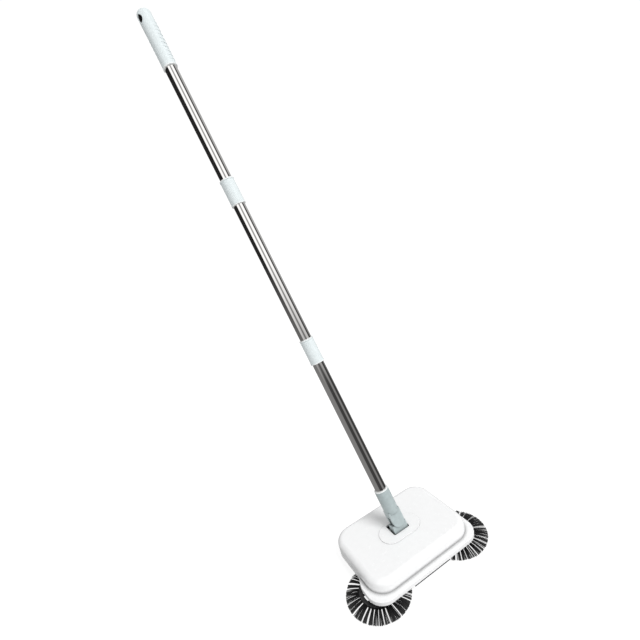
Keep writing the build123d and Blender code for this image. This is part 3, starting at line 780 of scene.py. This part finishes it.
def roller_tree():
    """Spiral rows of short tufts round the roller."""
    tree, given = new_shape_tree(
        "roller_tufts",
        Vector=["Centre"],
        Int=["Rows", "Tufts", "Strands", "Seed"],
        Float=["Half Length", "Core Radius", "Reach", "Twist", "Strand Radius"],
    )
    seed, reach, index = given["Seed"], given["Reach"], index_node(tree)
    per_row = times(tree, given["Tufts"], given["Strands"])
    row = whole_steps(tree, index, per_row)
    tuft = whole_steps(tree, math_node(tree, "MODULO", index, per_row), given["Strands"])
    share = over(tree, plus(tree, tuft, 0.5), given["Tufts"])
    centred = minus(tree, times(tree, share, 2.0), 1.0)
    x = times(tree, centred, times(tree, given["Half Length"], 0.985))
    x = plus(tree, x, jitter(tree, -0.0009, 0.0009, index, seed))
    angle = times(tree, row, over(tree, math.tau, given["Rows"]))
    angle = plus(tree, angle, times(tree, share, given["Twist"]))
    angle = plus(tree, angle, jitter(tree, -0.09, 0.09, index, seed, 1))
    spot = vector(tree, x, *polar(tree, angle, given["Core Radius"]))
    points = scattered(tree, times(tree, per_row, given["Rows"]), spot, given["Centre"])
    outward = vector(tree, jitter(tree, -0.09, 0.09, index, seed, 2), *polar(tree, angle, 1.0))
    rotation = add(tree, "FunctionNodeAlignRotationToVector", {"Vector": outward}, axis="X")
    stretch = vector(tree, jitter(tree, 0.93, 0.99, index, seed, 3), 1.0, 1.0)
    strand = strand_geometry(tree, reach, times(tree, reach, 0.04), given["Strand Radius"], 2)
    tufts = shaded_instances(tree, points, strand, rotation, stretch, seed)
    return end_shape_tree(tree, tufts, given)


def tyre_tree():
    """A low tyre with tread lugs round it in two staggered rows, turning about X."""
    tree, given = new_shape_tree(
        "treaded_tyre",
        Vector=["Centre"], Int=["Lugs"], Float=["Radius", "Depth", "Width", "Lug Height"],
    )
    radius, width, height = given["Radius"], given["Width"], given["Lug Height"]
    depth = minus(tree, given["Depth"], height)
    mid = minus(tree, minus(tree, radius, height), times(tree, depth, 0.5))
    path = add(tree, "GeometryNodeCurvePrimitiveCircle", {"Resolution": 96, "Radius": mid})
    section = {"Width": depth, "Height": width}
    section = add(tree, "GeometryNodeCurvePrimitiveQuadrilateral", section)
    section = {"Curve": section, "Radius": 0.0006, "Count": 3}
    band = swept(tree, path, add(tree, "GeometryNodeFilletCurve", section, mode="POLY"))
    block = vector(tree, times(tree, height, 1.8), 0.0016, times(tree, width, 0.42))
    lug = add(tree, "GeometryNodeMeshCube", {"Size": block}).outputs["Mesh"]
    lug = moved(tree, lug, Rotation=(0.35, 0.0, 0.0))
    index = index_node(tree)
    angle = times(tree, index, over(tree, math.tau, given["Lugs"]))
    seat = minus(tree, radius, times(tree, height, 0.95))
    side = minus(tree, times(tree, math_node(tree, "MODULO", index, 2.0), 2.0), 1.0)
    spot = vector(tree, *polar(tree, angle, seat), times(tree, side, times(tree, width, 0.24)))
    ring = add(tree, "GeometryNodePoints", {"Count": given["Lugs"], "Position": spot})
    lugs = on_points(tree, ring, lug, Rotation=rotation_of(tree, z=angle))
    upright = (0.0, math.pi / 2, 0.0)
    stood = moved(tree, joined(tree, band, lugs), Translation=given["Centre"], Rotation=upright)
    return end_shape_tree(tree, stood, given)


class SWEEPER_OT_roller(bpy.types.Operator):
    """Grow the roller's spiral tufts and the treaded tyres on the driving wheels"""

    bl_idname = "sweeper.roller"
    bl_label = "Roller and Tyres"

    def execute(self, context):
        size = context.scene.sweeper_roller
        low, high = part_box("roller_bristles")
        core_low, core_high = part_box("roller_core")
        core_radius = (core_high.z - core_low.z) / 2
        black = context.scene.sweeper_brushes.fibre
        fibre = bristle_fibre("roller_bristle", black, (0.12, 0.12, 0.12))
        tufts = grow(
            "roller_tufts", roller_tree(),
            {
                "Centre": tuple((low + high) / 2), "Half Length": (high.x - low.x) / 2,
                "Core Radius": core_radius - 0.0004, "Reach": (high.z - low.z) / 2 - core_radius,
                "Rows": size.rows, "Tufts": size.tufts, "Strands": size.strands,
                "Twist": size.twist, "Strand Radius": 0.00028, "Seed": 5, "Material": fibre,
            },
        )
        place(tufts, "drive", "bristle", "roller_bristles")
        rubber = soft_rubber("tyre_rubber", (0.045, 0.045, 0.047))
        tree = tyre_tree()
        for side in SIDES:
            low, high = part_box(f"tyre_{side}")
            wheel_low, wheel_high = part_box(f"wheel_{side}")
            radius = (high.z - low.z) / 2
            tyre = grow(
                f"treaded_tyre_{side}", tree,
                {
                    "Centre": tuple((low + high) / 2), "Radius": radius,
                    "Depth": radius - (wheel_high.z - wheel_low.z) / 2, "Width": high.x - low.x,
                    "Lugs": size.lugs, "Lug Height": LUG_HEIGHT, "Material": rubber,
                },
            )
            place(tyre, "drive", "wheel_rubber", f"tyre_{side}")
        return {"FINISHED"}


# Screws


def screw_mesh(name, radius, height, length, material):
    """A pan-head screw that points up, with a cross recess in the head's underside."""
    bm = bmesh.new()
    steps = 24
    outline = (
        (radius * 0.42, 0.0), (radius * 0.8, 0.0), (radius * 0.96, height * 0.25),
        (radius, height * 0.6), (radius * 0.98, height), (radius * 0.5, height),
        (radius * 0.46, height + length),
        (radius * 0.2, height + length * 1.15),
    )
    rings = []
    for r, z in outline:
        ring = [bm.verts.new((r * math.cos(a), r * math.sin(a), z)) for a in circle_angles(steps)]
        rings.append(ring)
    for lower, upper in zip(rings, rings[1:]):
        bridge(bm, lower, upper)
    bm.faces.new(rings[-1])
    arm, slot = radius * 0.36, radius * 0.1
    recess = []
    for angle in circle_angles(steps):
        quarter = abs((angle + math.pi / 4) % (math.pi / 2) - math.pi / 4)
        reach = min(arm, slot / max(math.sin(quarter), 0.01)) if quarter > 0 else arm
        recess.append((reach * math.cos(angle), reach * math.sin(angle)))
    top = [bm.verts.new((x, y, 0.0)) for x, y in recess]
    floor_ring = [bm.verts.new((x * 0.7, y * 0.7, height * 0.7)) for x, y in recess]
    bridge(bm, top, rings[0])
    bridge(bm, floor_ring, top)
    bm.faces.new(list(reversed(floor_ring)))
    bmesh.ops.recalc_face_normals(bm, faces=bm.faces)
    return mesh_object(name, bm, material)


def circle_angles(steps):
    return [math.tau * i / steps for i in range(steps)]


def bridge(bm, lower, upper):
    """Joins two rings of the same count with faces."""
    count = len(lower)
    for i in range(count):
        j = (i + 1) % count
        bm.faces.new((lower[i], lower[j], upper[j], upper[i]))


def screw_tree():
    """Puts a screw on every point, each turned its own way."""
    tree, given = new_shape_tree("tray_screws", Object=["Screw"], Int=["Seed"])
    screw = add(tree, "GeometryNodeObjectInfo", {"Object": given["Screw"]}).outputs["Geometry"]
    turn = jitter(tree, 0.0, math.pi / 2, index_node(tree), given["Seed"])
    placed = on_points(tree, given["Geometry"], screw, Rotation=rotation_of(tree, z=turn))
    return end_shape_tree(tree, placed, given)


class SWEEPER_OT_screws(bpy.types.Operator):
    """Set the cross-head screws under the tray"""

    bl_idname = "sweeper.screws"
    bl_label = "Screws"

    def execute(self, context):
        steel = turned_metal("zinc_screw_steel", (0.5, 0.5, 0.49), 0.3, (700, 700, 60), 5e-6, 0.6)
        spots = loose_boxes("body_screws", 0.03)
        low, high = spots[0]
        radius = (high.x - low.x) / 2
        shank = (high.z - low.z) * 0.82 - SCREW_HEAD
        screw = screw_mesh("screw_pattern", radius, SCREW_HEAD, shank, steel)
        points = [((a.x + b.x) / 2, (a.y + b.y) / 2, a.z) for a, b in spots]
        values = {"Screw": screw, "Seed": 3, "Material": steel}
        screws = grow("tray_screws", screw_tree(), values, points)
        bpy.data.objects.remove(screw)
        place(screws, "head", "steel", "body_screws")
        return {"FINISHED"}


# Grip


def handle_axes():
    """The handle's middle line, the way its hang hole faces, the way across, and the hole."""
    origin, up = handle_line()
    spot, axis = mount("hang_hole")
    face = (axis - up * axis.dot(up)).normalized()
    if face.y > 0:
        face = -face
    return origin, up, face, up.cross(face), spot


def grip_radius(share, angle, radius):
    """The grip's outer radius at a share of its length and an angle from the hang hole's side."""
    if share > DOME_START:
        dome = (share - DOME_START) / (1.0 - DOME_START)
        radius *= math.sqrt(max(1.0 - (dome * 0.985) ** 2.2, 0.0))
    waist = 0.00045 * math.sin(math.pi * min(share / 0.75, 1.0))
    dimples = 0.0
    for row in range(9):
        for column, centre in enumerate((0.55, 1.15, 1.75)):
            along = (share - (0.12 + 0.07 * row + 0.02 * column)) / 0.022
            around = (angle - centre + 0.1 * along) / 0.22
            dimples += 0.00018 * math.exp(-along * along - around * around)
    return radius - waist - dimples


def grip_mesh(name, material, length, radius, bore, bore_depth, origin, up, face, across):
    """The grip as one closed skin: down the outside from the domed tip and back up the bore."""
    bm = bmesh.new()
    steps = 120
    rows = 130

    def ring(height, radius_at):
        verts = []
        for angle in circle_angles(steps):
            r = radius_at(angle)
            out = face * math.cos(angle) + across * math.sin(angle)
            verts.append(bm.verts.new(origin + up * height + out * r))
        return verts

    foot = (
        (0.0, bore), (0.0, radius * 0.965), (0.0004, radius), (0.0021, radius),
        (0.0026, radius * 0.972),
    )
    rings = [ring(height, lambda a, r=r: r) for height, r in foot]
    for row in range(1, rows):
        share = 0.03 + 0.97 * row / rows
        rings.append(ring(length * share, lambda a, s=share: grip_radius(s, a, radius * 0.972)))
    for lower, upper in zip(rings, rings[1:]):
        bridge(bm, lower, upper)
    cap(bm, rings[-1], origin + up * length, False)
    wall = [rings[0], ring(bore_depth, lambda a: bore)]
    bridge(bm, wall[1], wall[0])
    cap(bm, wall[1], origin + up * bore_depth, True)
    bmesh.ops.recalc_face_normals(bm, faces=bm.faces)
    return mesh_object(name, bm, material)


def cap(bm, ring, point, inward):
    top = bm.verts.new(point)
    for i, vert in enumerate(ring):
        following = ring[(i + 1) % len(ring)]
        bm.faces.new((following, vert, top) if inward else (vert, following, top))


def teardrop(width, length, steps=48):
    """A drop's outline, round at the lower end and narrower at the upper."""
    outline = []
    for angle in circle_angles(steps):
        along = math.sin(angle)
        narrow = 1.0 - 0.28 * max(along, 0.0) ** 1.5
        outline.append((width / 2 * math.cos(angle) * narrow, length / 2 * along))
    return outline


def cut_hole(grip, hole_wall_finish, outline, spot, face, across, up):
    """Cuts the hang hole straight through the grip and gives its wall a near-black finish."""
    bm = bmesh.new()
    rings = []
    for depth in (-0.03, 0.03):
        rings.append([bm.verts.new(spot + face * depth + across * x + up * y) for x, y in outline])
    bridge(bm, rings[0], rings[1])
    bm.faces.new(rings[1])
    bm.faces.new(list(reversed(rings[0])))
    bmesh.ops.recalc_face_normals(bm, faces=bm.faces)
    cutter = mesh_object("hole_cutter", bm, hole_wall_finish)
    modifier = grip.modifiers.new("hole", "BOOLEAN")
    modifier.operation = "DIFFERENCE"
    modifier.solver = "EXACT"
    modifier.material_mode = "TRANSFER"
    modifier.object = cutter
    depsgraph = bpy.context.evaluated_depsgraph_get()
    mesh = bpy.data.meshes.new_from_object(grip.evaluated_get(depsgraph), depsgraph=depsgraph)
    grip.modifiers.clear()
    grip.data = mesh
    bpy.data.objects.remove(cutter)


def hole_rim(name, material, skin, outline, spot, face, across, up, thickness):
    """A raised bead that follows the hole's edge over the curved skin, on both sides."""
    bm = bmesh.new()
    for side in (1, -1):
        path = []
        for x, y in outline:
            start = spot + across * x * 1.16 + up * y * 1.12 + face * side * 0.03
            hit = skin.ray_cast(start, -face * side, 0.06)[0]
            path.append(hit if hit else start - face * side * 0.03)
        centre = sum(path, Vector()) / len(path)
        rings = []
        count = len(path)
        for i, point in enumerate(path):
            ahead = (path[(i + 1) % count] - path[i - 1]).normalized()
            outward = face * side
            aside = ahead.cross(outward).normalized()
            if aside.dot(point - centre) < 0:
                aside = -aside
            ring = []
            for angle in circle_angles(10):
                offset = aside * math.cos(angle) + outward * math.sin(angle) * 0.75
                ring.append(bm.verts.new(point + offset * thickness))
            rings.append(ring)
        for i in range(count):
            bridge(bm, rings[i], rings[(i + 1) % count])
    bmesh.ops.recalc_face_normals(bm, faces=bm.faces)
    return mesh_object(name, bm, material, math.radians(70))


def rib_tree():
    """Finger ribs: arcs that fade out at both ends, one above the other along the handle."""
    tree, given = new_shape_tree(
        "grip_ribs",
        Vector=["Start", "Step"], Rotation=["Turn"], Int=["Count"],
        Float=["Radius", "Sweep", "Height", "Width"],
    )
    arc = {
        "Resolution": 24, "Radius": given["Radius"],
        "Start Angle": times(tree, given["Sweep"], -0.5), "Sweep Angle": given["Sweep"],
    }
    arc = add(tree, "GeometryNodeCurveArc", arc)
    share = add(tree, "GeometryNodeSplineParameter").outputs["Factor"]
    swell = math_node(tree, "SINE", times(tree, share, math.pi))
    swell = math_node(tree, "POWER", math_node(tree, "MAXIMUM", swell, 0.0001), 0.4)
    outline = add(tree, "GeometryNodeCurvePrimitiveCircle", {"Resolution": 12, "Radius": 1.0})
    flattened = moved(tree, outline, Scale=vector(tree, given["Height"], given["Width"], 1.0))
    rib = swept(tree, arc, flattened, **{"Scale": swell, "Fill Caps": True})
    climb = {0: given["Step"], "Scale": index_node(tree)}
    climb = add(tree, "ShaderNodeVectorMath", climb, operation="SCALE")
    spot = vector_math(tree, "ADD", given["Start"], climb)
    line = add(tree, "GeometryNodePoints", {"Count": given["Count"], "Position": spot})
    return end_shape_tree(tree, on_points(tree, line, rib, Rotation=given["Turn"]), given)


class SWEEPER_OT_grip(bpy.types.Operator):
    """Shape the grip with its domed tip, hang hole, rim and finger ribs"""

    bl_idname = "sweeper.grip"
    bl_label = "Grip"

    def execute(self, context):
        look = context.scene.sweeper_handle
        origin, up, face, across, spot = handle_axes()
        start, end = span_along("grip", origin, up)
        # The grip gets a painted highlight round its lower end.
        pale = moulded_plastic(
            "pale_grip_plastic", look.pale, 0.36, grain=0.0008, grain_depth=3e-6, mottling=0.02,
            wear=0.2, edge=0.001, dust=0.02, highlight_rims=(start + 0.0008,),
        )
        low, high = span_along("grip", origin, across)
        radius = (high - low) / 2
        tube_high = span_along("tube_upper", origin, up)[1]
        base = origin + up * start
        length = end - start
        spot = base + up * (spot - base).dot(up)
        depth = tube_high - start
        grip = grip_mesh(
            "ribbed_grip", pale, length, radius, GRIP_BORE, depth, base, up, face, across
        )
        skin = BVHTree.FromObject(grip, bpy.context.evaluated_depsgraph_get())
        outline = teardrop(look.hole_width, look.hole_length)
        # The hole's wall is made near-black, so the hole reads dark.
        hole_wall_finish = moulded_plastic("near_black_hole_wall", (0.012, 0.012, 0.013), 0.5, wear=0.0)
        cut_hole(grip, hole_wall_finish, outline, spot, face, across, up)
        rim = hole_rim("hang_hole_rim", pale, skin, outline, spot, face, across, up, 0.0011)
        tree = rib_tree()
        for name, bearing, sweep, count, first in (
            ("finger_ribs", math.radians(125), math.radians(105), 10, 0.10),
            ("thumb_ribs", math.radians(-75), math.radians(45), 5, 0.24),
        ):
            out = face * math.cos(bearing) + across * math.sin(bearing)
            turn = Matrix((out, up.cross(out), up)).transposed().to_euler()
            ribs = grow(
                name, tree,
                {
                    "Start": tuple(base + up * length * first), "Step": tuple(up * look.rib_pitch),
                    "Turn": tuple(turn), "Count": count, "Radius": radius * 0.955, "Sweep": sweep,
                    "Height": look.rib_height, "Width": 0.0026, "Material": pale,
                },
            )
            place(ribs, "handle", "pale_plastic")
        place(grip, "handle", "pale_plastic", "grip")
        place(rim, "handle", "pale_plastic")
        return {"FINISHED"}


# Stage


def studio_world(even):
    """White to the eye, an even fill for matt surfaces, and tall panels for mirrors to pick up.

    The two rings of panels meet square to the handle, so its upper and lower tubes mirror one each.
    """
    world = bpy.data.worlds.new("studio_world")
    world.use_nodes = True
    tree = world.node_tree
    tree.nodes.clear()
    direction = add(tree, "ShaderNodeTexCoord").outputs["Generated"]
    parts = add(tree, "ShaderNodeSeparateXYZ", {0: direction})
    bearing = math_node(tree, "ARCTAN2", parts.outputs["X"], parts.outputs["Y"])
    share = ranged(tree, bearing, -math.pi, math.pi)
    high = panel_ramp(tree, share, HIGH_PANELS)
    low = panel_ramp(tree, share, LOW_PANELS)
    blend = ranged(tree, dot(tree, direction, handle_line()[1]), -0.22, 0.12)
    mirrored = mix_colour(tree, blend, low, high)
    ray = add(tree, "ShaderNodeLightPath")
    matt = add(tree, "ShaderNodeBackground", {0: WHITE, 1: even})
    gloss = add(tree, "ShaderNodeBackground", {0: mirrored, 1: 1.0})
    seen = add(tree, "ShaderNodeBackground", {0: WHITE, 1: 1.05})
    lit = add(tree, "ShaderNodeMixShader", {0: ray.outputs["Is Glossy Ray"], 1: matt, 2: gloss})
    shown = add(tree, "ShaderNodeMixShader", {0: ray.outputs["Is Camera Ray"], 1: lit, 2: seen})
    add(tree, "ShaderNodeOutputWorld", {"Surface": shown})
    return world


def grey(brightness):
    return (brightness, brightness, brightness, 1.0)


def panel_ramp(tree, share, stops):
    """A ring of panels round the studio; a stop is a share of the turn and a brightness."""
    node = add(tree, "ShaderNodeValToRGB", {0: share})
    ramp = node.color_ramp
    first, last = ramp.elements
    first.color = grey(stops[0][1])
    last.color = grey(stops[-1][1])
    for position, brightness in stops[1:-1]:
        ramp.elements.new(position).color = grey(brightness)
    return node.outputs[0]


HIGH_PANELS = (
    (0, 0.8), (0.012, 0.36), (0.072, 0.36), (0.087, 1.2), (0.185, 1.2), (0.195, 0.02), (0.47, 0.02),
    (0.5, 0.3), (0.56, 0.45), (0.765, 0.45), (0.785, 0.03), (0.85, 0.03), (0.875, 1.2),
    (0.985, 1.2), (1, 0.8),
)
LOW_PANELS = (
    (0, 0.05), (0.11, 0.055), (0.13, 0.23), (0.70, 0.23), (0.735, 0.045), (0.85, 0.045),
    (0.88, 0.24), (0.95, 0.24), (0.98, 0.05), (1, 0.05),
)


def floor_material():
    """A floor that looks white, takes a faint shadow and bounces light like white card."""
    material, tree, shader = new_finish("studio_floor")
    tree.nodes.remove(shader)
    tone = mix_colour(tree, noise(tree, local(tree), 3.0, 3.0), grey(0.235), grey(0.25))
    takes_shadow = add(tree, "ShaderNodeBsdfDiffuse", {"Color": tone})
    glow = add(tree, "ShaderNodeEmission", {"Color": WHITE, "Strength": 0.86})
    seen = add(tree, "ShaderNodeAddShader", {0: takes_shadow, 1: glow})
    bounce = add(tree, "ShaderNodeBsdfDiffuse", {"Color": grey(0.75)})
    ray = add(tree, "ShaderNodeLightPath")
    both = add(tree, "ShaderNodeMixShader", {0: ray.outputs["Is Camera Ray"], 1: bounce, 2: seen})
    tree.links.new(both.outputs[0], tree.nodes["Material Output"].inputs["Surface"])
    return material


class SWEEPER_OT_stage(bpy.types.Operator):
    """Set up the pale floor, the soft lights and the camera"""

    bl_idname = "sweeper.stage"
    bl_label = "Stage"

    def execute(self, context):
        scene, look = context.scene, context.scene.sweeper_studio
        bm = bmesh.new()
        bmesh.ops.create_circle(bm, cap_ends=True, segments=64, radius=9.0)
        floor = mesh_object("studio_floor", bm, floor_material())
        floor.visible_glossy = False
        scene.world = studio_world(look.fill)
        scene.view_settings.view_transform = "Standard"
        sun = bpy.data.lights.new("soft_key", "SUN")
        sun.energy = look.key
        sun.angle = math.radians(28)
        key = bpy.data.objects.new("soft_key", sun)
        key.rotation_euler = Vector((0.22, -0.62, 0.78)).to_track_quat("Z", "Y").to_euler()
        key.visible_glossy = False
        scene.collection.objects.link(key)
        turn, nod, roll = look.aim
        ahead = Vector(
            (-math.sin(turn) * math.cos(nod), math.cos(turn) * math.cos(nod), math.sin(nod))
        )
        level = Vector((math.cos(turn), math.sin(turn), 0.0))
        above = level.cross(ahead)
        right = level * math.cos(roll) + above * math.sin(roll)
        top = above * math.cos(roll) - level * math.sin(roll)
        camera = bpy.data.objects.new("camera", bpy.data.cameras.new("camera"))
        camera.data.lens = look.lens
        camera.data.sensor_width = 36.0
        camera.data.clip_end = 100.0
        pose = Matrix((right, top, -ahead)).transposed().to_4x4()
        pose.translation = look.eye
        camera.matrix_world = pose
        scene.collection.objects.link(camera)
        scene.camera = camera
        return {"FINISHED"}


# Sidebar


class SWEEPER_PT_panel(bpy.types.Panel):
    """Sizes, colours and build steps of the sweeper"""

    bl_idname = "SWEEPER_PT_panel"
    bl_label = "Carpet Sweeper"
    bl_space_type = "VIEW_3D"
    bl_region_type = "UI"
    bl_category = "Sweeper"

    def draw(self, context):
        for group, steps in LAYOUT:
            box = self.layout.box()
            settings = getattr(context.scene, group)
            for name in settings.__annotations__:
                box.prop(settings, name)
            for step in steps:
                box.operator(step.bl_idname)


SETTINGS = {
    "sweeper_shell": SweeperShell, "sweeper_handle": SweeperHandle,
    "sweeper_brushes": SweeperBrushes, "sweeper_roller": SweeperRoller,
    "sweeper_studio": SweeperStudio,
}
LAYOUT = (
    ("sweeper_shell", (SWEEPER_OT_shell, SWEEPER_OT_running_gear, SWEEPER_OT_screws)),
    ("sweeper_handle", (SWEEPER_OT_handle, SWEEPER_OT_grip)),
    ("sweeper_brushes", (SWEEPER_OT_side_brushes,)),
    ("sweeper_roller", (SWEEPER_OT_roller,)),
    ("sweeper_studio", (SWEEPER_OT_stage,)),
)
OPERATORS = [step for group, steps in LAYOUT for step in steps]


def register():
    for cls in (*SETTINGS.values(), *OPERATORS, SWEEPER_PT_panel):
        bpy.utils.register_class(cls)
    for name, cls in SETTINGS.items():
        setattr(bpy.types.Scene, name, PointerProperty(type=cls))


def unregister():
    for name in SETTINGS:
        delattr(bpy.types.Scene, name)
    for cls in reversed((*SETTINGS.values(), *OPERATORS, SWEEPER_PT_panel)):
        bpy.utils.unregister_class(cls)


def main():
    register()
    for step in OPERATORS:
        area, name = step.bl_idname.split(".")
        getattr(getattr(bpy.ops, area), name)()


if __name__ == "__main__":
    main()
